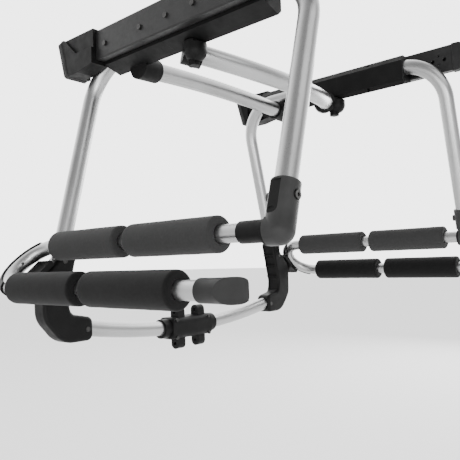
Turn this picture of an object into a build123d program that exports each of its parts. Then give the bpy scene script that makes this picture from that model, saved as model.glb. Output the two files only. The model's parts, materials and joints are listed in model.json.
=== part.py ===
from build123d import *
import os
from math import atan2, cos, degrees, hypot, radians, sin

# Ski carrier that hangs on a vehicle's tailgate.  Millimetres, +Z up.
# +Y points at the vehicle and X is across it.  The pieces are laid out from a working
# origin, level with the upper ski arms, on the centre line, a few millimetres outside
# the plane where the right-hand foam rolls begin.  write() moves every piece so that the finished origin is
# midway between the faces of the two pads that rest on the vehicle.
# Every side piece is made for the right (+X) side and mirrored to the left.

# ---- Driving dimensions ----------------------------------------------------------
CLEARANCE = 0.05          # radial running or assembly clearance
FOAM_D = 55.0             # foam roll
FOAM_BORE_CLEARANCE = 0.1
ROLL_START = 4.5
ROLL_LENGTH = 190.0
ROLL_PITCH = 214.0        # start of one roll to the start of the next

ARM_D = 27.0              # bent ski arm tube
ARM_WALL = 2.0
UPPER_ARM_X = 382.0
LOWER_ARM_X = 467.0
LOWER_ARM_Z = -73.5
ARM_BARE = 17.0           # bare tube between the last roll and the bend
LEFT_ARM_SHIFT = 50.0     # the left arm sits this much nearer the vehicle

FRAME_D = 33.0            # drop tubes, legs and lower cross tube
FRAME_WALL = 2.0
CROSS_D = 36.0            # the two upper cross tubes
DROP_BEND_R = 88.0        # on the centre line
LEG_BEND_R = 98.0
DROP_Y = -46.0
DROP_TOP_X = 262.0
BEAM_TUBE_Z = 393.5
LEG_Y = 498.0
LEG_TOP_X = 252.0
LEG_X = 352.0             # leg at the height of the origin
DROP_STUB_Y = 165.0       # inner end of the drop tube in the beam
LEG_STUB_Y = 330.0        # inner end of the leg in the beam
DROP_FOOT_Z = 21.0
LEG_FOOT_Z = -50.0

PROFILE_X = (288.0, 308.0)
PROFILE_Z = (370.0, 429.0)
PROFILE_Y = (-62.0, 470.0)
SLEEVE_X = 240.0
SLEEVE_Z = (352.0, 419.0)
SLEEVE_Y = (33.0, 200.0)
BRACKET_Y = (200.0, 262.0)
COVER_Y = (262.0, 432.0)
CHAMFER_IN = 9.0
CHAMFER_TOP = 13.0
CHAMFER_BOTTOM = 8.0
UNDERSIDE_RISE = 12.0      # the underside climbs this much toward the profile

OUTER_CROSS_END = (250.0, 244.0, 353.0)
OUTER_CROSS_MID = (0.0, 164.0, 321.5)
INNER_CROSS_END = (231.0, 367.0, 352.0)
INNER_CROSS_MID = (0.0, 372.0, 361.0)
SOCKET_R = 23.0
SOCKET_DEPTH = 22.0

LOWER_END_X = 316.0
LOWER_MID_Z = -192.5
LOWER_BOW = 0.31e-3       # rise per square millimetre of X
CORNER_TOP_Z = 14.0
CORNER_HALF = 22.0
CORNER_ROUND_BACK = 12.0
CORNER_ROUND_FRONT = 7.0
CORNER_SOCKET_X = 297.0

ELBOW_R = 21.0
ELBOW_TOP = 68.0          # along the drop tube
ELBOW_MOUTH_Y = -31.0
LINER_D = 31.5
LINER_INNER_Y = -50.0
LINER_END_Y_RIGHT = -25.0
LINER_END_Y_LEFT = 17.0   # the left liner is longer, because its arm sits deeper
ELBOW_BOLT_UP = 46.5
BOLT_D = 8.0

CAP_D = 32.0
CAP_START_Y = -34.0
CAP_LENGTH = 62.0
CAP_CUT_ANGLE = 42.0

os.makedirs("parts", exist_ok=True)


# ---- Helpers -----------------------------------------------------------------------
def swept_tube(points, bend_radius, outer_d, wall):
    """Round tube along straight runs joined by tangent bends."""
    with BuildPart() as tube:
        with BuildLine() as path:
            FilletPolyline(*points, radius=bend_radius)
        with BuildSketch(Plane(origin=path.line @ 0, z_dir=path.line % 0)):
            Circle(outer_d / 2)
            if wall:
                Circle(outer_d / 2 - wall, mode=Mode.SUBTRACT)
        sweep(path=path.line)
    return tube.part


def bowed_tube(start, middle, end, outer_d, wall):
    """Round tube along one circular arc."""
    with BuildPart() as tube:
        with BuildLine() as path:
            ThreePointArc(start, middle, end)
        with BuildSketch(Plane(origin=path.line @ 0, z_dir=path.line % 0)):
            Circle(outer_d / 2)
            if wall:
                Circle(outer_d / 2 - wall, mode=Mode.SUBTRACT)
        sweep(path=path.line)
    return tube.part


def rod(start, direction, length, radius):
    """Solid round bar from a point along a direction."""
    with BuildPart() as bar:
        with BuildSketch(Plane(origin=start, z_dir=direction)):
            Circle(radius)
        extrude(amount=length)
    return bar.part


def ring(start, direction, length, outer_r, inner_r):
    """Round sleeve from a point along a direction."""
    with BuildPart() as sleeve:
        with BuildSketch(Plane(origin=start, z_dir=direction)):
            Circle(outer_r)
            Circle(inner_r, mode=Mode.SUBTRACT)
        extrude(amount=length)
    return sleeve.part


def write(name, part):
    """Label a piece, move it to the finished origin and write its file."""
    placed = part.moved(Location(-PAD_MIDPOINT))
    placed.label = name
    export_step(placed, f"parts/{name}.step")


def write_pair(name, part, left_shift=0.0):
    """Write the right-hand piece and its mirror image on the left."""
    write(f"{name}_right", part)
    left = mirror(part, about=Plane.YZ).moved(Location((0, left_shift, 0)))
    write(f"{name}_left", left)


def lower_z(x):
    return LOWER_MID_Z + LOWER_BOW * x * x


def leg_x(z):
    return LEG_X + (LEG_TOP_X - LEG_X) * z / BEAM_TUBE_Z


# Directions that several pieces share.
DROP_UP = Vector(DROP_TOP_X - UPPER_ARM_X, 0, BEAM_TUBE_Z).normalized()
LEG_UP = Vector(LEG_TOP_X - LEG_X, 0, BEAM_TUBE_Z).normalized()
ELBOW_CENTRE = Vector(UPPER_ARM_X, DROP_Y, 0)
TILT = Vector(LOWER_ARM_X - UPPER_ARM_X, 0, LOWER_ARM_Z).normalized()
ARM_NORMAL = Vector(-LOWER_ARM_Z, 0, LOWER_ARM_X - UPPER_ARM_X).normalized()
ARM_BEND_R = hypot(LOWER_ARM_X - UPPER_ARM_X, LOWER_ARM_Z) / 2
ARM_BEND_Y = ROLL_START + ROLL_PITCH + ROLL_LENGTH + ARM_BARE
ARM_PLANE_DEG = degrees(atan2(LOWER_ARM_Z, LOWER_ARM_X - UPPER_ARM_X))


# ---- Frame tubes ---------------------------------------------------------------------
drop_path = [
    (DROP_TOP_X, DROP_STUB_Y, BEAM_TUBE_Z),
    (DROP_TOP_X, DROP_Y, BEAM_TUBE_Z),
    tuple(ELBOW_CENTRE + DROP_UP * DROP_FOOT_Z),
]
leg_path = [
    (LEG_TOP_X, LEG_STUB_Y, BEAM_TUBE_Z),
    (LEG_TOP_X, LEG_Y, BEAM_TUBE_Z),
    (leg_x(LEG_FOOT_Z), LEG_Y, LEG_FOOT_Z),
]
drop_tube = swept_tube(drop_path, DROP_BEND_R, FRAME_D, FRAME_WALL)
leg_tube = swept_tube(leg_path, LEG_BEND_R, FRAME_D, FRAME_WALL)


def cross_tube(end, middle, outer_d):
    left_end = (-end[0], end[1], end[2])
    return bowed_tube(left_end, middle, end, outer_d, FRAME_WALL)


outer_cross_tube = cross_tube(OUTER_CROSS_END, OUTER_CROSS_MID, CROSS_D)
inner_cross_tube = cross_tube(INNER_CROSS_END, INNER_CROSS_MID, CROSS_D)
lower_end = (LOWER_END_X, LEG_Y, lower_z(LOWER_END_X))
lower_middle = (0.0, LEG_Y, LOWER_MID_Z)
lower_cross_tube = cross_tube(lower_end, lower_middle, FRAME_D)


# ---- Side beam -------------------------------------------------------------------------
def beam_solid(y_range):
    """Octagonal inner moulding of the beam, between two planes across it."""
    low, high = SLEEVE_Z
    inner, outer = SLEEVE_X, PROFILE_X[0]
    with BuildPart() as moulding:
        with BuildSketch(across(y_range[1])):
            with BuildLine():
                Polyline(
                    (outer, low + UNDERSIDE_RISE),
                    (inner + CHAMFER_IN, low),
                    (inner, low + CHAMFER_BOTTOM),
                    (inner, high - CHAMFER_TOP),
                    (inner + CHAMFER_IN, high),
                    (outer, high),
                    close=True,
                )
            make_face()
        extrude(amount=y_range[1] - y_range[0])
    return moulding.part


def across(y):
    """Plane across the beam at y, whose normal points outward from the vehicle."""
    return Plane.XZ.offset(-y)


with BuildPart() as box_profile:
    with BuildSketch(across(PROFILE_Y[1])):
        with Locations((sum(PROFILE_X) / 2, sum(PROFILE_Z) / 2)):
            RectangleRounded(PROFILE_X[1] - PROFILE_X[0], PROFILE_Z[1] - PROFILE_Z[0], 3)
            RectangleRounded(
                PROFILE_X[1] - PROFILE_X[0] - 2 * FRAME_WALL,
                PROFILE_Z[1] - PROFILE_Z[0] - 2 * FRAME_WALL,
                1,
                mode=Mode.SUBTRACT,
            )
    extrude(amount=PROFILE_Y[1] - PROFILE_Y[0])
    # Two large and two small holes near the outer end, right through both walls.
    with Locations(Plane.YZ.offset(PROFILE_X[1])):
        with Locations((-20, 398), (-46, 398)):
            Hole(4.3)
        with Locations((-33, 408), (-33, 388)):
            Hole(2.2)

SLEEVE_SCREW_Y = 118.0
with BuildPart() as beam_sleeve:
    add(beam_solid(SLEEVE_Y))
    # Parting slots on the two long edges.
    with BuildSketch(across(SLEEVE_SCREW_Y + 3)):
        with Locations((SLEEVE_X + 3, SLEEVE_Z[0] + 3), (SLEEVE_X + 3, SLEEVE_Z[1] - 3)):
            Rectangle(12, 9)
    extrude(amount=6, mode=Mode.SUBTRACT)
    add(
        rod((DROP_TOP_X, SLEEVE_Y[1] + 1, BEAM_TUBE_Z), (0, -1, 0), 170, FRAME_D / 2 + CLEARANCE),
        mode=Mode.SUBTRACT,
    )
    # The bore's mouth follows the start of the drop tube's bend.
    add(swept_tube(drop_path, DROP_BEND_R, FRAME_D + 2 * CLEARANCE, 0), mode=Mode.SUBTRACT)

KNOB_AT = (253.0, 217.0)
KNOB_TOP_Z = 326.0
KNOB_GAP = 0.4
KNOB_HEIGHT = 11.0
KNOB_R = 11.5
KNOB_SHANK = 7.0
KNOB_SHANK_R = 4.0
KNOB_BOSS_R = 12.5
SHOULDER_AT = (255.0, 211.0, 341.0)
SHOULDER_R = 21.0
OUTER_SOCKET_R = 26.0
OUTER_MOUTH = Vector(222.0, 225.2, 345.8)
outer_tangent = Vector(1.0, 0.66, 0.26).normalized()
with BuildPart() as outer_bracket:
    add(beam_solid(BRACKET_Y))
    # Socket for the outer cross tube, hanging below the beam, with a clamp knob boss.
    add(rod(OUTER_MOUTH, outer_tangent, 36, OUTER_SOCKET_R))
    add(rod((*KNOB_AT, OUTER_MOUTH.Z), (0, 0, -1), OUTER_MOUTH.Z - KNOB_TOP_Z - KNOB_GAP, KNOB_BOSS_R))
    # Rounded shoulder that joins the socket to the beam.
    with Locations(SHOULDER_AT):
        Sphere(SHOULDER_R)
    add(rod(SHOULDER_AT, (0, 0, 1), SLEEVE_Z[0] + 4 - SHOULDER_AT[2], SHOULDER_R))
    # Flat parting faces against the inner bracket and the sleeve.
    with BuildSketch(across(BRACKET_Y[1] + 40)):
        with Locations((SLEEVE_X, SLEEVE_Z[0])):
            Rectangle(120, 120)
    extrude(amount=40, mode=Mode.SUBTRACT)
    with BuildSketch(across(BRACKET_Y[0])):
        with Locations((SLEEVE_X, SLEEVE_Z[0] + 49.8)):
            Rectangle(120, 100)
    extrude(amount=40, mode=Mode.SUBTRACT)
    # Flat seat over the knob, and the hole for its shank.
    add(rod((*KNOB_AT, KNOB_TOP_Z + KNOB_GAP), (0, 0, -1), 20, KNOB_R + 1.5), mode=Mode.SUBTRACT)
    add(rod((*KNOB_AT, KNOB_TOP_Z), (0, 0, 1), KNOB_SHANK + 0.5, KNOB_SHANK_R + CLEARANCE), mode=Mode.SUBTRACT)
    add(
        bowed_tube(
            (-OUTER_CROSS_END[0], *OUTER_CROSS_END[1:]),
            OUTER_CROSS_MID,
            OUTER_CROSS_END,
            CROSS_D + 2 * CLEARANCE,
            0,
        ),
        mode=Mode.SUBTRACT,
    )

with BuildPart() as clamp_knob:
    with BuildSketch(Plane.XY.offset(KNOB_TOP_Z - KNOB_HEIGHT)):
        with Locations(KNOB_AT):
            Circle(KNOB_R)
        with Locations(KNOB_AT):
            with PolarLocations(KNOB_R + 1.0, 6):
                Circle(2.4, mode=Mode.SUBTRACT)
    extrude(amount=KNOB_HEIGHT)
    chamfer(clamp_knob.faces().sort_by(Axis.Z)[0].edges(), 1)
    add(rod((*KNOB_AT, KNOB_TOP_Z - 1), (0, 0, 1), KNOB_SHANK + 1, KNOB_SHANK_R))

inner_tangent = Vector(1.0, -0.03, -0.05).normalized()
with BuildPart() as inner_bracket:
    add(beam_solid(COVER_Y))
    add(
        rod(
            Vector(*INNER_CROSS_END) - inner_tangent * SOCKET_DEPTH,
            inner_tangent,
            SOCKET_DEPTH + 26,
            SOCKET_R,
        )
    )
    add(
        swept_tube(leg_path, LEG_BEND_R, FRAME_D + 2 * CLEARANCE, 0),
        mode=Mode.SUBTRACT,
    )
    add(
        bowed_tube(
            (-INNER_CROSS_END[0], *INNER_CROSS_END[1:]),
            INNER_CROSS_MID,
            INNER_CROSS_END,
            CROSS_D + 2 * CLEARANCE,
            0,
        ),
        mode=Mode.SUBTRACT,
    )

CAP_TIP_Y = -98.0
with BuildPart() as beam_end_cap:
    # D-shaped nose in side view, with a lip round the profile's end.
    with BuildSketch(Plane.YZ.offset(PROFILE_X[0] - 1.5)):
        with BuildLine():
            FilletPolyline(
                (PROFILE_Y[0], PROFILE_Z[0] - 1.5),
                (CAP_TIP_Y, PROFILE_Z[0] - 1.5),
                (CAP_TIP_Y, PROFILE_Z[1] + 1.5),
                (PROFILE_Y[0], PROFILE_Z[1] + 1.5),
                radius=26,
            )
            Line((PROFILE_Y[0], PROFILE_Z[1] + 1.5), (PROFILE_Y[0], PROFILE_Z[0] - 1.5))
        make_face()
    extrude(amount=PROFILE_X[1] - PROFILE_X[0] + 3)
    fillet(beam_end_cap.edges().filter_by(Plane.YZ).group_by(Axis.X)[0], 3)
    fillet(beam_end_cap.edges().filter_by(Plane.YZ).group_by(Axis.X)[-1], 3)

# Wedge block at the vehicle end and the rubber pad on its sloping face.
PAD_TILT = 15.5
PAD_FOOT = (514.0, 354.0)         # Y, Z of the block's lower vehicle-side corner
PAD_THICK = 12.0
BLOCK_X = (PROFILE_X[0] - 18.0, 320.0)
BLOCK_TOP = 433.0
pad_run = sin(radians(PAD_TILT)) / cos(radians(PAD_TILT))
block_top_y = PAD_FOOT[0] + (BLOCK_TOP - PAD_FOOT[1]) * pad_run
with BuildPart() as end_block:
    with BuildSketch(Plane.YZ.offset(BLOCK_X[0])):
        with BuildLine():
            Polyline(
                (COVER_Y[1] + 0.05, PAD_FOOT[1] + 8),
                (PAD_FOOT[0] - 34, PAD_FOOT[1]),
                PAD_FOOT,
                (block_top_y, BLOCK_TOP),
                (COVER_Y[1] + 0.05, PROFILE_Z[1] + 3),
                close=True,
            )
        make_face()
    extrude(amount=BLOCK_X[1] - BLOCK_X[0])
    # Pocket for the end of the box profile.
    with BuildSketch(across(PROFILE_Y[1])):
        with Locations((sum(PROFILE_X) / 2, sum(PROFILE_Z) / 2)):
            RectangleRounded(
                PROFILE_X[1] - PROFILE_X[0] + 2 * CLEARANCE,
                PROFILE_Z[1] - PROFILE_Z[0] + 2 * CLEARANCE,
                3,
            )
    extrude(amount=60, mode=Mode.SUBTRACT)
    # Sloping relief for the leg's bend, on the inboard lower edge.
    with BuildSketch(across(PAD_FOOT[0] - 9)):
        with BuildLine():
            Polyline(
                (BLOCK_X[0] - 1, PAD_FOOT[1] - 1),
                (BLOCK_X[0] + 11, PAD_FOOT[1] - 1),
                (BLOCK_X[0] + 11, PAD_FOOT[1] + 18),
                (BLOCK_X[0] + 2, PAD_FOOT[1] + 42),
                (BLOCK_X[0] - 1, PAD_FOOT[1] + 42),
                close=True,
            )
        make_face()
    extrude(amount=80, mode=Mode.SUBTRACT)
    # Step across the outboard face.
    with BuildSketch(Plane.YZ.offset(BLOCK_X[1])):
        with BuildLine():
            Polyline(
                (COVER_Y[1], 394),
                (PAD_FOOT[0] - 30, 394),
                (block_top_y - 8, BLOCK_TOP + 1),
                (COVER_Y[1], BLOCK_TOP + 1),
                close=True,
            )
        make_face()
    extrude(amount=-5, mode=Mode.SUBTRACT)

pad_plane = Plane(
    origin=(0, PAD_FOOT[0], PAD_FOOT[1]),
    x_dir=(-1, 0, 0),
    z_dir=(0, cos(radians(PAD_TILT)), -sin(radians(PAD_TILT))),
)
PAD_WIDTH = BLOCK_X[1] - BLOCK_X[0]
PAD_HEIGHT = (BLOCK_TOP - PAD_FOOT[1]) / cos(radians(PAD_TILT))
PAD_MIDPOINT = pad_plane.origin + pad_plane.y_dir * (PAD_HEIGHT / 2) + pad_plane.z_dir * PAD_THICK
with BuildPart() as vehicle_pad:
    with BuildSketch(pad_plane):
        with Locations((-sum(BLOCK_X) / 2, PAD_HEIGHT / 2)):
            RectangleRounded(PAD_WIDTH + 4, PAD_HEIGHT, 6)
    extrude(amount=PAD_THICK)
    chamfer(vehicle_pad.faces().sort_by(Axis.Y)[-1].edges(), 2)


# ---- Lower corner moulding -----------------------------------------------------------
CORNER_SCREWS = ((310.0, -165.0), (leg_x(-28), -28.0))
POCKET_DEPTH = 6.0
RIB_THICK = 2.2


def corner_solid():
    """Outer shape: a rounded bracket from the leg's foot to the cross tube's end."""
    top_x = leg_x(CORNER_TOP_Z)
    outline = [
        (top_x - 24, CORNER_TOP_Z),
        (top_x + 17, CORNER_TOP_Z),
        (top_x + 18, -18),
        (396, -46),
        (407, -70),
        (405, -140),
        (364, -188),
        (CORNER_SOCKET_X, -188),
        (CORNER_SOCKET_X, lower_z(CORNER_SOCKET_X) + 23),
        (346, -132),
        (352, -104),
    ]
    radii = [13, 13, 14, 14, 26, 46, 50, 13, 13, 16, 40]
    with BuildPart() as body:
        with BuildSketch(across(LEG_Y + CORNER_HALF)):
            with BuildLine():
                FilletPolyline(*outline, radius=radii, close=True)
            make_face()
        extrude(amount=2 * CORNER_HALF)
    return body.part


def corner_inboard_x(z):
    """Inboard face of the moulding above its waist."""
    top_x = leg_x(CORNER_TOP_Z) - 24
    return top_x + (352 - top_x) * (CORNER_TOP_Z - z) / (CORNER_TOP_Z + 104)


def corner_pocket():
    """Shallow channel down the side that faces the carrier's middle."""
    with BuildPart() as pocket:
        with BuildSketch(across(LEG_Y + CORNER_HALF - 5)):
            with BuildLine():
                Polyline(
                    (300, 0),
                    (corner_inboard_x(0) + POCKET_DEPTH, 0),
                    (corner_inboard_x(-100) + POCKET_DEPTH, -100),
                    (346 + POCKET_DEPTH, -128),
                    (300, -128),
                    close=True,
                )
            make_face()
        extrude(amount=2 * CORNER_HALF - 10)
    return pocket.part


def corner_rib(z):
    """One sloping plate across the hollow."""
    with BuildPart() as rib:
        with BuildSketch(across(LEG_Y + CORNER_HALF - 4)):
            with BuildLine():
                Polyline((326, z), (372, z - 26), (372, z - 26 - RIB_THICK), (326, z - RIB_THICK), close=True)
            make_face()
        extrude(amount=2 * CORNER_HALF - 8)
    return rib.part


with BuildPart() as corner_ribs:
    for rib_z in (-22, -48, -74):
        add(corner_rib(rib_z))
    add(corner_solid(), mode=Mode.INTERSECT)

with BuildPart() as corner_moulding:
    add(corner_solid())
    fillet(corner_moulding.faces().sort_by(Axis.Y)[-1].edges(), CORNER_ROUND_BACK)
    fillet(corner_moulding.faces().sort_by(Axis.Y)[0].edges(), CORNER_ROUND_FRONT)
    add(corner_pocket(), mode=Mode.SUBTRACT)
    add(corner_ribs.part)
    add(swept_tube(leg_path, LEG_BEND_R, FRAME_D + 2 * CLEARANCE, 0), mode=Mode.SUBTRACT)
    add(
        bowed_tube(
            (-lower_end[0], *lower_end[1:]),
            lower_middle,
            lower_end,
            FRAME_D + 2 * CLEARANCE,
            0,
        ),
        mode=Mode.SUBTRACT,
    )
    # Counterbores for the socket screws.
    for x, z in CORNER_SCREWS:
        add(rod((x, LEG_Y - 24, z), (0, 1, 0), 4, 5.2), mode=Mode.SUBTRACT)

with BuildPart() as corner_screws:
    for x, z in CORNER_SCREWS:
        add(rod((x, LEG_Y - 22.5, z), (0, 1, 0), 2.4, 5.0))

# ---- Cradle: a shelf under the arm's bend, on the corner moulding's outboard side --------
CRADLE_Y = (LEG_Y - 24.0, LEG_Y + 22.0)
CRADLE_GAP = 0.6
arm_axis_origin = Vector(UPPER_ARM_X, 0, 0)


def on_arm(along, above, y):
    """Point from distances along the arm pair's tilt and above its plane."""
    return arm_axis_origin + TILT * along + ARM_NORMAL * above + Vector(0, y, 0)


def cradle_outline():
    shelf = -(ARM_D / 2 + CRADLE_GAP)
    corners = [(24, shelf), (100, shelf), (100, shelf - 7), (70, shelf - 10), (24, shelf - 10)]
    points = [on_arm(along, above, 0) for along, above in corners]
    return [(p.X, p.Z) for p in points]


with BuildPart() as arm_cradle:
    with BuildSketch(across(CRADLE_Y[1])):
        with BuildLine():
            Polyline(*cradle_outline(), close=True)
        make_face()
    extrude(amount=CRADLE_Y[1] - CRADLE_Y[0])
    # Web that carries the shelf down to the moulding.
    with BuildSketch(across(LEG_Y + 8)):
        with BuildLine():
            Polyline((372, -26), (430, -66), (408, -104), (392, -104), (368, -44), close=True)
        make_face()
    extrude(amount=16)
    add(corner_solid(), mode=Mode.SUBTRACT)
    add(swept_tube(leg_path, LEG_BEND_R, FRAME_D + 2 * CLEARANCE, 0), mode=Mode.SUBTRACT)

# ---- Elbow at the foot of the drop tube ------------------------------------------------
PANEL_DEPTH = 3.5
PANEL_THICK = 1.4
PANEL_WIDE = (-6.0, 11.4)
PANEL_UP = (17.0, ELBOW_TOP - 4)
elbow_side = Plane(origin=ELBOW_CENTRE, x_dir=(0, 1, 0), z_dir=(cos(atan2(-DROP_UP.X, DROP_UP.Z)), 0, -DROP_UP.X))


def panel_solid(margin, thickness):
    """Flat slab on the elbow's outboard side, smaller all round by a margin."""
    with BuildPart() as slab:
        with BuildSketch(elbow_side.offset(ELBOW_R - PANEL_DEPTH)):
            with BuildLine():
                FilletPolyline(
                    (PANEL_WIDE[1] - margin, PANEL_UP[0] + margin),
                    (PANEL_WIDE[0] + margin, PANEL_UP[0] + margin),
                    (PANEL_WIDE[0] + margin, PANEL_UP[1] - margin),
                    (PANEL_WIDE[1] - margin, PANEL_UP[1] - margin),
                    radius=[4, 8, 0.5, 0.5],
                    close=True,
                )
            make_face()
        extrude(amount=thickness)
    return slab.part


MOUTH_TOP = 17.0
BOLT_HEAD_Y = -18.4       # from the drop tube's axis
NUT_Y = 18.6
with BuildPart() as elbow:
    add(rod(ELBOW_CENTRE, DROP_UP, ELBOW_TOP, ELBOW_R))
    fillet(elbow.edges().group_by(Axis.Z)[-1], 3)
    add(rod(ELBOW_CENTRE, (0, 1, 0), ELBOW_MOUTH_Y - DROP_Y, ELBOW_R))
    with Locations(ELBOW_CENTRE):
        Sphere(ELBOW_R)
    # Flat mouth for the arm, under the upright barrel's bulge.
    with BuildSketch(across(0)):
        with Locations((UPPER_ARM_X, MOUTH_TOP - 30)):
            Rectangle(60, 60)
    extrude(amount=-ELBOW_MOUTH_Y, mode=Mode.SUBTRACT)
    add(rod(ELBOW_CENTRE + DROP_UP * DROP_FOOT_Z, DROP_UP, 60, FRAME_D / 2 + CLEARANCE), mode=Mode.SUBTRACT)
    add(
        rod((UPPER_ARM_X, -56, 0), (0, 1, 0), 40, LINER_D / 2 + CLEARANCE),
        mode=Mode.SUBTRACT,
    )
    bolt_centre = ELBOW_CENTRE + DROP_UP * ELBOW_BOLT_UP
    add(rod(bolt_centre + Vector(0, -30, 0), (0, 1, 0), 60, BOLT_D / 2 + CLEARANCE), mode=Mode.SUBTRACT)
    add(rod(bolt_centre + Vector(0, -30, 0), (0, 1, 0), 30 + BOLT_HEAD_Y, 7.4), mode=Mode.SUBTRACT)
    add(rod(bolt_centre + Vector(0, NUT_Y, 0), (0, 1, 0), 20, 7.8), mode=Mode.SUBTRACT)
    add(panel_solid(0, 20), mode=Mode.SUBTRACT)

with BuildPart() as elbow_panel:
    add(panel_solid(0.3, PANEL_THICK))
    # Slot near the foot of the panel.
    with BuildSketch(elbow_side.offset(ELBOW_R - PANEL_DEPTH + PANEL_THICK)):
        with Locations((4, 24)):
            SlotOverall(9, 4)
    extrude(amount=-0.8, mode=Mode.SUBTRACT)

with BuildPart() as elbow_bolt:
    add(rod(bolt_centre + Vector(0, BOLT_HEAD_Y, 0), (0, 1, 0), NUT_Y + 7.5 - BOLT_HEAD_Y, BOLT_D / 2))
    add(rod(bolt_centre + Vector(0, BOLT_HEAD_Y - 4.2, 0), (0, 1, 0), 4.2, 6.4))
    with BuildSketch(across(bolt_centre.Y + BOLT_HEAD_Y - 4.2)):
        with Locations((bolt_centre.X, bolt_centre.Z)):
            RegularPolygon(2.9, 6)
    extrude(amount=-2.6, mode=Mode.SUBTRACT)

with BuildPart() as elbow_nut:
    with BuildSketch(across(bolt_centre.Y + NUT_Y + 6.5)):
        with Locations((bolt_centre.X, bolt_centre.Z)):
            Circle(7.2)
            Circle(BOLT_D / 2 + CLEARANCE, mode=Mode.SUBTRACT)
    extrude(amount=6.5)

# The drop tube is drilled for the bolt.
with BuildPart() as drilled_drop_tube:
    add(drop_tube)
    add(rod(bolt_centre + Vector(0, -30, 0), (0, 1, 0), 60, BOLT_D / 2 + CLEARANCE), mode=Mode.SUBTRACT)


def arm_liner(end_y):
    """Bearing sleeve that the arm turns in, with a half lip under the elbow's mouth."""
    with BuildPart() as liner:
        add(rod((UPPER_ARM_X, ELBOW_MOUTH_Y, 0), (0, 1, 0), 4.0, ELBOW_R - 0.4))
        with BuildSketch(across(0)):
            with Locations((UPPER_ARM_X, 30)):
                Rectangle(60, 60)
        extrude(amount=60, mode=Mode.SUBTRACT)
        add(rod((UPPER_ARM_X, LINER_INNER_Y, 0), (0, 1, 0), end_y - LINER_INNER_Y, LINER_D / 2))
        chamfer(liner.edges().group_by(Axis.Y)[-1], 1.0)
        add(
            rod((UPPER_ARM_X, LINER_INNER_Y - 1, 0), (0, 1, 0), 140, ARM_D / 2 + CLEARANCE),
            mode=Mode.SUBTRACT,
        )
    return liner.part


# ---- Ski arm: one tube bent into a U -------------------------------------------------------
ARM_TUBE_START_Y = -53.0
BEND_HOLE_TURN = 84.0      # degrees round the bend
RETAINER_Y = LINER_INNER_Y - 2.6
LOWER_TUBE_START_Y = CAP_START_Y - 30.0


def arm_path(y_upper, y_lower):
    """Centre line: upper arm, half circle at the vehicle end, lower arm."""
    apex = on_arm(ARM_BEND_R, 0, ARM_BEND_Y + ARM_BEND_R)
    upper_end = on_arm(0, 0, ARM_BEND_Y)
    lower_end_point = on_arm(2 * ARM_BEND_R, 0, ARM_BEND_Y)
    with BuildLine() as path:
        Line(on_arm(0, 0, y_upper), upper_end)
        ThreePointArc(upper_end, apex, lower_end_point)
        Line(lower_end_point, on_arm(2 * ARM_BEND_R, 0, y_lower))
    return path.line


def arm_tube(start_y):
    """The U of tube, with a small hole in the inner side of its bend."""
    line = arm_path(start_y, LOWER_TUBE_START_Y)
    turn = radians(BEND_HOLE_TURN)
    inward = TILT * cos(turn) - Vector(0, sin(turn), 0)
    hole = on_arm(ARM_BEND_R * (1 - cos(turn)), 0, ARM_BEND_Y + ARM_BEND_R * sin(turn))
    with BuildPart() as bent:
        with BuildSketch(Plane(origin=line @ 0, z_dir=line % 0)):
            Circle(ARM_D / 2)
            Circle(ARM_D / 2 - ARM_WALL, mode=Mode.SUBTRACT)
        sweep(path=line)
        add(rod(hole, ARM_NORMAL * 0.35 + inward, 20, 2.6), mode=Mode.SUBTRACT)
    return bent.part


arm_retainer = ring((UPPER_ARM_X, RETAINER_Y, 0), (0, 1, 0), 2.4, 14.9, ARM_D / 2 + CLEARANCE)


def foam_roll(axis_x, axis_z, start_y):
    with BuildPart() as roll:
        add(rod((axis_x, start_y, axis_z), (0, 1, 0), ROLL_LENGTH, FOAM_D / 2))
        fillet(roll.edges().filter_by(GeomType.CIRCLE), 5)
        add(
            rod((axis_x, start_y - 1, axis_z), (0, 1, 0), ROLL_LENGTH + 2, ARM_D / 2 + FOAM_BORE_CLEARANCE),
            mode=Mode.SUBTRACT,
        )
    return roll.part


def arm_core(margin):
    """Solid of the arm's outside, larger all round by a margin."""
    line = arm_path(0, LOWER_TUBE_START_Y)
    with BuildPart() as core:
        with BuildSketch(Plane(origin=line @ 0, z_dir=line % 0)):
            Circle(ARM_D / 2 + margin)
        sweep(path=line)
    return core.part


# Guard strip round the outside of the bend.
GUARD_THICK = 2.8
GUARD_BAND = (-11.5, 17.0)   # below and above the arm's plane
GUARD_SPAN = (32.0, 166.0)
guard_r = ARM_BEND_R + 2.0
with BuildPart() as bend_guard:
    guard_plane = Plane(origin=on_arm(ARM_BEND_R, 0, ARM_BEND_Y), x_dir=TILT, z_dir=ARM_NORMAL)
    guard_side = 1 if guard_plane.to_local_coords(on_arm(ARM_BEND_R, 0, ARM_BEND_Y + 10)).Y > 0 else -1
    with BuildSketch(guard_plane.offset(GUARD_BAND[0])):
        with BuildLine():
            ends = []
            for radius in (guard_r, ARM_BEND_R + ARM_D / 2 + GUARD_THICK + 1):
                stations = [
                    (-radius * cos(radians(angle)), guard_side * radius * sin(radians(angle)))
                    for angle in (GUARD_SPAN[0], 90, GUARD_SPAN[1])
                ]
                ThreePointArc(*stations)
                ends.append((stations[0], stations[-1]))
            Line(ends[0][0], ends[1][0])
            Line(ends[0][1], ends[1][1])
        make_face()
    extrude(amount=GUARD_BAND[1] - GUARD_BAND[0])
    # Round outside, and the tube's own round back.
    add(arm_core(GUARD_THICK), mode=Mode.INTERSECT)
    add(arm_core(CLEARANCE), mode=Mode.SUBTRACT)

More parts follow.
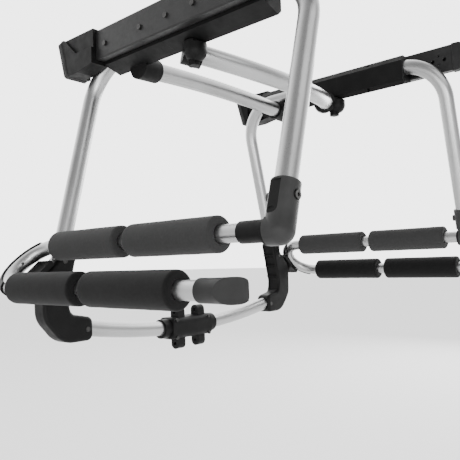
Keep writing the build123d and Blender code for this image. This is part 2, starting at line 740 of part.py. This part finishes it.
# Plug in the lower arm's free end, cut off at a slant on its outboard side.
CAP_SPIGOT = 24.0
lower_axis = Vector(LOWER_ARM_X, 0, LOWER_ARM_Z)
with BuildPart() as arm_end_cap:
    cap_tip_y = CAP_START_Y - CAP_LENGTH
    with BuildSketch(across(CAP_START_Y)):
        with Locations((LOWER_ARM_X, LOWER_ARM_Z)):
            Circle(CAP_D / 2)
    with BuildSketch(across(CAP_START_Y - 36)):
        with Locations((LOWER_ARM_X, LOWER_ARM_Z)):
            Circle(CAP_D / 2 + 0.3)
    with BuildSketch(across(cap_tip_y)):
        with Locations((LOWER_ARM_X, LOWER_ARM_Z)):
            RectangleRounded(CAP_D + 3, CAP_D + 3, 11)
    loft()
    cut_plane = Plane(
        origin=(LOWER_ARM_X + CAP_D / 2, cap_tip_y + CAP_D * sin(radians(CAP_CUT_ANGLE)) + 7, LOWER_ARM_Z),
        z_dir=(sin(radians(CAP_CUT_ANGLE)), -cos(radians(CAP_CUT_ANGLE)), 0),
    )
    with BuildSketch(cut_plane):
        Rectangle(120, 120)
    extrude(amount=60, mode=Mode.SUBTRACT)
    # Bore that the tube's end is pushed into.
    add(
        rod((LOWER_ARM_X, CAP_START_Y + 1, LOWER_ARM_Z), (0, -1, 0), 32, ARM_D / 2 + CLEARANCE),
        mode=Mode.SUBTRACT,
    )

# ---- Hub clamped round the middle of the lower cross tube ----------------------------------
HUB_X = -12.0             # the clamp sits a little off the middle
HUB_HALF_LENGTH = 86.0
HUB_BODY_HALF = 66.0
HUB_LUG_X = 34.0
HUB_LUG_R = 12.0
HUB_LUG_UP = 37.0
HUB_LUG_LENGTH = 23.0
LUG_HOLE_R = 4.5
hub_bore = bowed_tube(
    (-lower_end[0], *lower_end[1:]), lower_middle, lower_end, FRAME_D + 2 * CLEARANCE, 0
)
with BuildPart() as hub:
    with BuildSketch(Plane.YZ.offset(HUB_X - HUB_BODY_HALF)):
        with Locations((LEG_Y, LOWER_MID_Z + 0.6)):
            RectangleRounded(54, 50, 14)
    extrude(amount=2 * HUB_BODY_HALF)
    chamfer(hub.edges().group_by(Axis.X)[0] + hub.edges().group_by(Axis.X)[-1], 3)
    with BuildSketch(Plane.YZ.offset(HUB_X - HUB_HALF_LENGTH)):
        with Locations((LEG_Y, LOWER_MID_Z + 1.4)):
            Circle(22)
    extrude(amount=2 * HUB_HALF_LENGTH)
    for side in (-1, 1):
        for up in (-1, 1):
            lug_x = HUB_X + side * HUB_LUG_X - HUB_LUG_LENGTH / 2
            start = (lug_x, LEG_Y - 6, LOWER_MID_Z + up * HUB_LUG_UP)
            add(rod(start, (1, 0, 0), HUB_LUG_LENGTH, HUB_LUG_R))
            with BuildSketch(Plane.YZ.offset(start[0])):
                with Locations((LEG_Y - 6, LOWER_MID_Z + up * (HUB_LUG_UP - 9))):
                    Rectangle(2 * HUB_LUG_R, 18)
            extrude(amount=HUB_LUG_LENGTH)
    add(hub_bore, mode=Mode.SUBTRACT)
    for up in (-1, 1):
        start = (HUB_X - HUB_HALF_LENGTH, LEG_Y - 6, LOWER_MID_Z + up * HUB_LUG_UP)
        add(rod(start, (1, 0, 0), 2 * HUB_HALF_LENGTH, LUG_HOLE_R), mode=Mode.SUBTRACT)

HUB_SPLIT_Y = LEG_Y + 8.0
HUB_SCREW_X = 54.0
HUB_SCREW_UP = 20.5
hub_screw_xs = (HUB_X - HUB_SCREW_X, HUB_X + HUB_SCREW_X)
hub_screw_places = [(x, z) for x in hub_screw_xs for z in (-HUB_SCREW_UP, HUB_SCREW_UP)]
with BuildPart() as hub_drills:
    for x, up in hub_screw_places:
        add(rod((x, LEG_Y - 40, LOWER_MID_Z + up), (0, 1, 0), 62, 2.1))
        add(rod((x, LEG_Y - 40, LOWER_MID_Z + up), (0, 1, 0), 17, 4.1))
with BuildPart() as hub_front_half_space:
    with Locations((0, HUB_SPLIT_Y - 100, LOWER_MID_Z)):
        Box(400, 200, 200)
hub_front = hub.part & hub_front_half_space.part - hub_drills.part
hub_rear = hub.part - hub_front_half_space.part - hub_drills.part
with BuildPart() as hub_screws:
    for x, up in hub_screw_places:
        add(rod((x, LEG_Y - 26.5, LOWER_MID_Z + up), (0, 1, 0), 3.5, 4.0))
        add(rod((x, LEG_Y - 23.0, LOWER_MID_Z + up), (0, 1, 0), 44, 2.0))

# ---- Beam fasteners --------------------------------------------------------------------------
# Cap screws that fix the mouldings to the box profile, through its outboard wall.
BEAM_SCREW_Y = (60.0, 165.0, 231.0, 300.0, 404.0)
with BuildPart() as beam_screws:
    for y in BEAM_SCREW_Y:
        add(rod((PROFILE_X[1], y, 396), (1, 0, 0), 3.2, 5.0))


# ---- Write the pieces ---------------------------------------------------------------------------
write("outer_cross_tube", outer_cross_tube)
write("inner_cross_tube", inner_cross_tube)
write("lower_cross_tube", lower_cross_tube)
write("hub_front", hub_front)
write("hub_rear", hub_rear)
write("hub_screws", hub_screws.part)
write_pair("leg_tube", leg_tube)
write_pair("drop_tube", drilled_drop_tube.part)
write_pair("box_profile", box_profile.part)
write_pair("beam_sleeve", beam_sleeve.part)
write_pair("outer_bracket", outer_bracket.part)
write_pair("inner_bracket", inner_bracket.part)
write_pair("clamp_knob", clamp_knob.part)
write_pair("beam_end_cap", beam_end_cap.part)
write_pair("end_block", end_block.part)
write_pair("vehicle_pad", vehicle_pad.part)
write_pair("beam_screws", beam_screws.part)
write_pair("corner_moulding", corner_moulding.part)
write_pair("corner_screws", corner_screws.part)
write_pair("arm_cradle", arm_cradle.part)
write_pair("elbow", elbow.part)
write_pair("elbow_panel", elbow_panel.part)
write_pair("elbow_bolt", elbow_bolt.part)
write_pair("elbow_nut", elbow_nut.part)
write("arm_liner_right", arm_liner(LINER_END_Y_RIGHT))
write("arm_liner_left", mirror(arm_liner(LINER_END_Y_LEFT), about=Plane.YZ))
write("arm_tube_right", arm_tube(ARM_TUBE_START_Y))
left_arm_tube = mirror(arm_tube(ARM_TUBE_START_Y - LEFT_ARM_SHIFT), about=Plane.YZ)
write("arm_tube_left", left_arm_tube.moved(Location((0, LEFT_ARM_SHIFT, 0))))
write_pair("arm_retainer", arm_retainer)
write_pair("bend_guard", bend_guard.part, LEFT_ARM_SHIFT)
write_pair("arm_end_cap", arm_end_cap.part, LEFT_ARM_SHIFT)
for arm_name, x, z in (("upper", UPPER_ARM_X, 0.0), ("lower", LOWER_ARM_X, LOWER_ARM_Z)):
    for roll_name, start in (("outer", ROLL_START), ("inner", ROLL_START + ROLL_PITCH)):
        write_pair(f"{arm_name}_{roll_name}_foam", foam_roll(x, z, start), LEFT_ARM_SHIFT)
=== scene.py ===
import json
import math

import bpy
from mathutils import Matrix, Vector, noise


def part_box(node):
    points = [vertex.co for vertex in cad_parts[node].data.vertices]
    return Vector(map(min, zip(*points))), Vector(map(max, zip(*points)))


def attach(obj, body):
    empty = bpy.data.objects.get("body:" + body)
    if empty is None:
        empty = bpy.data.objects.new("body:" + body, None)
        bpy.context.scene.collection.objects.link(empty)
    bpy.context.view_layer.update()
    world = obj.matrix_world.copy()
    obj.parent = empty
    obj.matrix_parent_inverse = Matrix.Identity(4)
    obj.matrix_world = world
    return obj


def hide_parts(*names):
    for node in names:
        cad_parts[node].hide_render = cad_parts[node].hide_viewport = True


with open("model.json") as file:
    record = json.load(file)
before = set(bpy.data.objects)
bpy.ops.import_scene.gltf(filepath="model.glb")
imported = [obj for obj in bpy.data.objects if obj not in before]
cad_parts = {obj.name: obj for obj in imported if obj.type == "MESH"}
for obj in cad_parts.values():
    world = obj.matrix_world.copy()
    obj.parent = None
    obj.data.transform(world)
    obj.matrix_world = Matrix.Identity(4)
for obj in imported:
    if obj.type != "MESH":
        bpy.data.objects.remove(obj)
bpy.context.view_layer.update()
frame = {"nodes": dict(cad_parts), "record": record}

# ---- Camera ------------------------------------------------------------------------
CAMERA_AT = Vector((-0.9632, -0.9886, -0.4272))
CAMERA_YAW = 0.8633        # radians from +Y towards +X
CAMERA_PITCH = 0.0493
CAMERA_ROLL = -0.0341
CAMERA_LENS = 42.90
CAMERA_SENSOR = 36.0
CAMERA_SHIFT = (0.0086, 0.0067)


def make_camera():
    forward = Vector((
        math.sin(CAMERA_YAW) * math.cos(CAMERA_PITCH),
        math.cos(CAMERA_YAW) * math.cos(CAMERA_PITCH),
        math.sin(CAMERA_PITCH),
    ))
    level_right = Vector((math.cos(CAMERA_YAW), -math.sin(CAMERA_YAW), 0.0))
    level_up = level_right.cross(forward)
    right = level_right * math.cos(CAMERA_ROLL) + level_up * math.sin(CAMERA_ROLL)
    up = level_up * math.cos(CAMERA_ROLL) - level_right * math.sin(CAMERA_ROLL)
    data = bpy.data.cameras.new("camera")
    data.lens = CAMERA_LENS
    data.sensor_width = CAMERA_SENSOR
    data.shift_x, data.shift_y = CAMERA_SHIFT
    data.clip_end = 60.0
    camera = bpy.data.objects.new("camera", data)
    bpy.context.scene.collection.objects.link(camera)
    turn = Matrix((right, up, -forward)).transposed()
    camera.matrix_world = Matrix.Translation(CAMERA_AT) @ turn.to_4x4()
    bpy.context.scene.camera = camera


make_camera()


# ---- Materials ---------------------------------------------------------------------
class Shader:
    """A Principled material whose detail comes from textures in object space."""

    def __init__(self, name, roughness, metallic=0.0, specular=0.5):
        self.material = bpy.data.materials.new(name)
        self.material.use_nodes = True
        self.tree = self.material.node_tree
        self.surface = self.tree.nodes["Principled BSDF"]
        self.surface.inputs["Roughness"].default_value = roughness
        self.surface.inputs["Metallic"].default_value = metallic
        self.surface.inputs["Specular IOR Level"].default_value = specular
        self.place = self.tree.nodes.new("ShaderNodeTexCoord").outputs["Object"]
        self.normal = None

    def node(self, kind, **values):
        made = self.tree.nodes.new(kind)
        for key, value in values.items():
            setattr(made, key, value)
        return made

    def noise(self, scale, detail=2.0, stretch=None):
        texture = self.node("ShaderNodeTexNoise")
        texture.inputs["Scale"].default_value = scale
        texture.inputs["Detail"].default_value = detail
        self.tree.links.new(self.stretched(stretch), texture.inputs["Vector"])
        return texture.outputs["Fac"]

    def cells(self, scale):
        texture = self.node("ShaderNodeTexVoronoi")
        texture.inputs["Scale"].default_value = scale
        self.tree.links.new(self.place, texture.inputs["Vector"])
        return texture.outputs["Distance"]

    def stretched(self, stretch):
        if stretch is None:
            return self.place
        mapping = self.node("ShaderNodeMapping")
        mapping.inputs["Scale"].default_value = stretch
        self.tree.links.new(self.place, mapping.inputs["Vector"])
        return mapping.outputs["Vector"]

    def ramp(self, source, stops):
        ramp = self.node("ShaderNodeValToRGB")
        while len(ramp.color_ramp.elements) < len(stops):
            ramp.color_ramp.elements.new(0.5)
        for element, (position, colour) in zip(ramp.color_ramp.elements, stops):
            element.position = position
            element.color = (*colour, 1.0)
        self.tree.links.new(source, ramp.inputs["Fac"])
        return ramp.outputs["Color"]

    def colour(self, source, dark, light, low=0.35, high=0.65):
        output = self.ramp(source, [(low, dark), (high, light)])
        self.tree.links.new(output, self.surface.inputs["Base Color"])

    def roughness(self, source, low, high):
        spread = self.node("ShaderNodeMapRange")
        spread.inputs["From Min"].default_value = 0.3
        spread.inputs["From Max"].default_value = 0.7
        spread.inputs["To Min"].default_value = low
        spread.inputs["To Max"].default_value = high
        self.tree.links.new(source, spread.inputs["Value"])
        self.tree.links.new(spread.outputs["Result"], self.surface.inputs["Roughness"])

    def soft_edges(self, radius):
        """Rounds the look of hard edges, as on a moulded or tumbled piece."""
        bevel = self.node("ShaderNodeBevel", samples=4)
        bevel.inputs["Radius"].default_value = radius
        self.normal = bevel.outputs["Normal"]
        self.tree.links.new(self.normal, self.surface.inputs["Normal"])

    def bump(self, source, strength, distance):
        bump = self.node("ShaderNodeBump")
        bump.inputs["Strength"].default_value = strength
        bump.inputs["Distance"].default_value = distance
        self.tree.links.new(source, bump.inputs["Height"])
        if self.normal:
            self.tree.links.new(self.normal, bump.inputs["Normal"])
        self.normal = bump.outputs["Normal"]
        self.tree.links.new(self.normal, self.surface.inputs["Normal"])


def grey(value, warmth=0.0):
    return (value * (1 + warmth), value, value * (1 - warmth))


def anodised_tube():
    """Bead-blasted, clear-anodised aluminium with a faint mottle and fine grain."""
    shader = Shader("anodised_tube", 0.36, metallic=1.0)
    shader.colour(shader.noise(9.0, 4.0), grey(0.33), grey(0.38, -0.004))
    shader.roughness(shader.noise(900.0, 2.0), 0.26, 0.38)
    shader.bump(shader.noise(2600.0, 1.0), 0.10, 0.0002)
    return shader.material


def moulded_plastic(name, dark, light, low, high):
    """Injection-moulded plastic with a fine spark-eroded texture."""
    shader = Shader(name, (low + high) / 2, specular=0.10)
    shader.soft_edges(0.0007)
    shader.colour(shader.noise(26.0, 5.0), grey(dark), grey(light))
    shader.roughness(shader.noise(60.0, 3.0), low, high)
    shader.bump(shader.noise(1500.0, 2.0), 0.35, 0.00015)
    return shader.material


def powder_coat():
    """Black powder coat with a slight orange peel."""
    shader = Shader("profile_paint", 0.42, specular=0.22)
    shader.soft_edges(0.0008)
    shader.colour(shader.noise(40.0, 3.0), grey(0.008), grey(0.012))
    shader.roughness(shader.noise(120.0, 2.0), 0.36, 0.50)
    shader.bump(shader.noise(420.0, 1.5), 0.25, 0.0003)
    return shader.material


def closed_cell_foam(name, dark, light):
    """Matt foam skin: small cells, a slow mottle and a little sheen."""
    shader = Shader(name, 0.86, specular=0.10)
    shader.surface.inputs["Sheen Weight"].default_value = 0.04
    shader.surface.inputs["Sheen Roughness"].default_value = 0.55
    shader.colour(shader.noise(240.0, 6.0), grey(dark), grey(light), 0.20, 0.80)
    shader.bump(shader.cells(1100.0), 0.30, 0.0002)
    shader.bump(shader.noise(70.0, 3.0), 0.12, 0.0010)
    return shader.material


def pad_rubber():
    shader = Shader("pad_rubber", 0.75, specular=0.35)
    shader.soft_edges(0.0008)
    shader.colour(shader.noise(35.0, 4.0), grey(0.012), grey(0.022))
    shader.roughness(shader.noise(200.0, 3.0), 0.66, 0.84)
    shader.bump(shader.noise(900.0, 2.0), 0.30, 0.0002)
    return shader.material


def fastener_steel():
    """Dark zinc plate with fine turning marks."""
    shader = Shader("fastener_steel", 0.38, metallic=0.9)
    shader.colour(shader.noise(300.0, 4.0), grey(0.030), grey(0.055, 0.02))
    shader.roughness(shader.noise(1400.0, 2.0, (1.0, 1.0, 8.0)), 0.30, 0.48)
    shader.bump(shader.noise(2000.0, 2.0), 0.15, 0.0001)
    return shader.material


MATERIALS = {
    "anodised_tube": anodised_tube(),
    "profile_paint": powder_coat(),
    "elbow_grey": moulded_plastic("elbow_grey", 0.022, 0.030, 0.34, 0.46),
    "cap_plastic": moulded_plastic("cap_plastic", 0.013, 0.019, 0.40, 0.52),
    "moulded_black": moulded_plastic("moulded_black", 0.0025, 0.0045, 0.42, 0.58),
    "pad_rubber": pad_rubber(),
    "fastener_steel": fastener_steel(),
    # The upper and lower rolls are the same foam. upper_foam is a lit copy, painted lighter as
    # painted light, and lower_foam is a shaded copy, painted darker as painted shade.
    "upper_foam": closed_cell_foam("upper_foam", 0.020, 0.027),
    "lower_foam": closed_cell_foam("lower_foam", 0.003, 0.006),
}


def dress_frame():
    """Give every CAD node except the foam rolls the material of its slot."""
    for row in frame["record"]["subparts"]:
        node = frame["nodes"][row["node"]]
        if row["material_slot"] == "roll_foam":
            continue
        for slot in node.material_slots:
            slot.material = MATERIALS[row["material_slot"]]


dress_frame()

# ---- Foam rolls --------------------------------------------------------------------
SEGMENTS = 96
RINGS = 44
EDGE_R = 0.0045
EDGE_STEPS = 6
LIP = 0.0012                 # how far the bore's edge dips in
UNDULATION = 0.00035
SWELL_SHARE = 0.66
SWELL_SCALE = (38.0, 95.0)   # slow and fine waves, per metre
BORE_TO_OUTSIDE = 27.4 / 55.0


def roll_profile(bore, radius, length):
    """(radius, distance along) points from the bore, over both rounded ends."""
    face = [
        (bore, LIP * 1.6),
        (bore + 0.0006, LIP * 0.5),
        (bore + 0.0020, 0.0),
        (bore + 0.0055, LIP * 0.05),
    ]
    for step in range(EDGE_STEPS + 1):
        angle = math.pi / 2 * step / EDGE_STEPS
        face.append((radius - EDGE_R * (1 - math.sin(angle)), EDGE_R * (1 - math.cos(angle))))
    side = [(radius, EDGE_R + (length - 2 * EDGE_R) * step / RINGS) for step in range(1, RINGS)]
    far = [(r, length - along) for r, along in reversed(face)]
    return face + side + far


def foam_roll(node, body, material):
    """Closed-cell foam sleeve on a tube, lathed and then made slightly uneven."""
    low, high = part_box(node)
    radius = (high[0] - low[0]) / 2
    bore = radius * BORE_TO_OUTSIDE
    centre = Vector(((low[0] + high[0]) / 2, low[1], (low[2] + high[2]) / 2))
    profile = roll_profile(bore, radius - UNDULATION, high[1] - low[1])
    vertices = []
    for r, along in profile:
        for step in range(SEGMENTS):
            angle = 2 * math.pi * step / SEGMENTS
            outward = Vector((math.cos(angle), 0.0, math.sin(angle)))
            point = centre + outward * r + Vector((0.0, along, 0.0))
            share = max(0.0, (r - bore) / (radius - bore))
            swell = noise.noise(point * SWELL_SCALE[0]) + 0.5 * noise.noise(point * SWELL_SCALE[1])
            vertices.append(point + outward * (UNDULATION * SWELL_SHARE * swell * share))
    faces = []
    rows = len(profile)
    for row in range(rows):
        after = (row + 1) % rows
        for step in range(SEGMENTS):
            beside = (step + 1) % SEGMENTS
            faces.append((
                row * SEGMENTS + step,
                row * SEGMENTS + beside,
                after * SEGMENTS + beside,
                after * SEGMENTS + step,
            ))
    mesh = bpy.data.meshes.new(f"{node}_skin")
    mesh.from_pydata(vertices, [], faces)
    mesh.validate()
    for polygon in mesh.polygons:
        polygon.use_smooth = True
    mesh.materials.append(material)
    piece = bpy.data.objects.new(f"{node}_skin", mesh)
    bpy.context.scene.collection.objects.link(piece)
    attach(piece, body)
    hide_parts(node)


# Each roll takes its level's foam copy: painted light on the upper rolls, painted shade on the
# lower rolls.
for side in ("right", "left"):
    for level in ("upper", "lower"):
        for place in ("outer", "inner"):
            foam_roll(f"{level}_{place}_foam_{side}", f"{side}_ski_arm", MATERIALS[f"{level}_foam"])


# ---- Studio ------------------------------------------------------------------------
FLOOR_Z = -1.05
FLOOR_REACH = 30.0
FLOOR_WHITE = 0.86
BRIGHT_SIDE = (0.66, 0.75, 0.0)
WORLD_BRIGHT = 4.0
WORLD_DIM = 0.60
WORLD_BLEND = (-0.5, 0.8)    # where the surround starts and ends brightening


def studio_floor():
    mesh = bpy.data.meshes.new("studio_floor")
    reach = FLOOR_REACH
    corners = [
        (-reach, -reach, FLOOR_Z),
        (reach, -reach, FLOOR_Z),
        (reach, reach, FLOOR_Z),
        (-reach, reach, FLOOR_Z),
    ]
    mesh.from_pydata(corners, [], [(0, 1, 2, 3)])
    floor = bpy.data.objects.new("studio_floor", mesh)
    bpy.context.scene.collection.objects.link(floor)
    shader = Shader("studio_floor", 0.9, specular=0.1)
    shader.surface.inputs["Base Color"].default_value = (*grey(FLOOR_WHITE), 1.0)
    mesh.materials.append(shader.material)


def area_light(name, place, target, size, energy):
    data = bpy.data.lights.new(name, "AREA")
    data.shape = "RECTANGLE"
    data.size, data.size_y = size
    data.energy = energy
    light = bpy.data.objects.new(name, data)
    light.location = place
    light.rotation_euler = (Vector(target) - Vector(place)).to_track_quat("-Z", "Y").to_euler()
    bpy.context.scene.collection.objects.link(light)


def studio_world():
    """White surround, brightest on the vehicle's side and softer on the other."""
    world = bpy.data.worlds.new("studio")
    world.use_nodes = True
    tree = world.node_tree
    background = tree.nodes["Background"]
    background.inputs["Color"].default_value = (1.0, 1.0, 1.0, 1.0)
    place = tree.nodes.new("ShaderNodeTexCoord")
    along = tree.nodes.new("ShaderNodeVectorMath")
    along.operation = "DOT_PRODUCT"
    along.inputs[1].default_value = BRIGHT_SIDE
    spread = tree.nodes.new("ShaderNodeMapRange")
    spread.interpolation_type = "SMOOTHSTEP"
    spread.inputs["From Min"].default_value = WORLD_BLEND[0]
    spread.inputs["From Max"].default_value = WORLD_BLEND[1]
    spread.inputs["To Min"].default_value = WORLD_DIM
    spread.inputs["To Max"].default_value = WORLD_BRIGHT
    tree.links.new(place.outputs["Generated"], along.inputs[0])
    tree.links.new(along.outputs["Value"], spread.inputs["Value"])
    tree.links.new(spread.outputs["Result"], background.inputs["Strength"])
    bpy.context.scene.world = world


studio_floor()
studio_world()
MIDDLE = (0.0, -0.35, -0.3)
area_light("near_fill", (-2.1, -3.0, -0.5), MIDDLE, (1.3, 1.3), 40.0)
area_light("left_low", (-2.4, -1.2, -0.6), MIDDLE, (2.0, 1.6), 35.0)
area_light("front_high", (-0.6, -2.6, 1.4), MIDDLE, (2.2, 1.4), 20.0)
area_light("right_rim", (2.6, -0.2, 0.6), MIDDLE, (1.6, 2.0), 60.0)
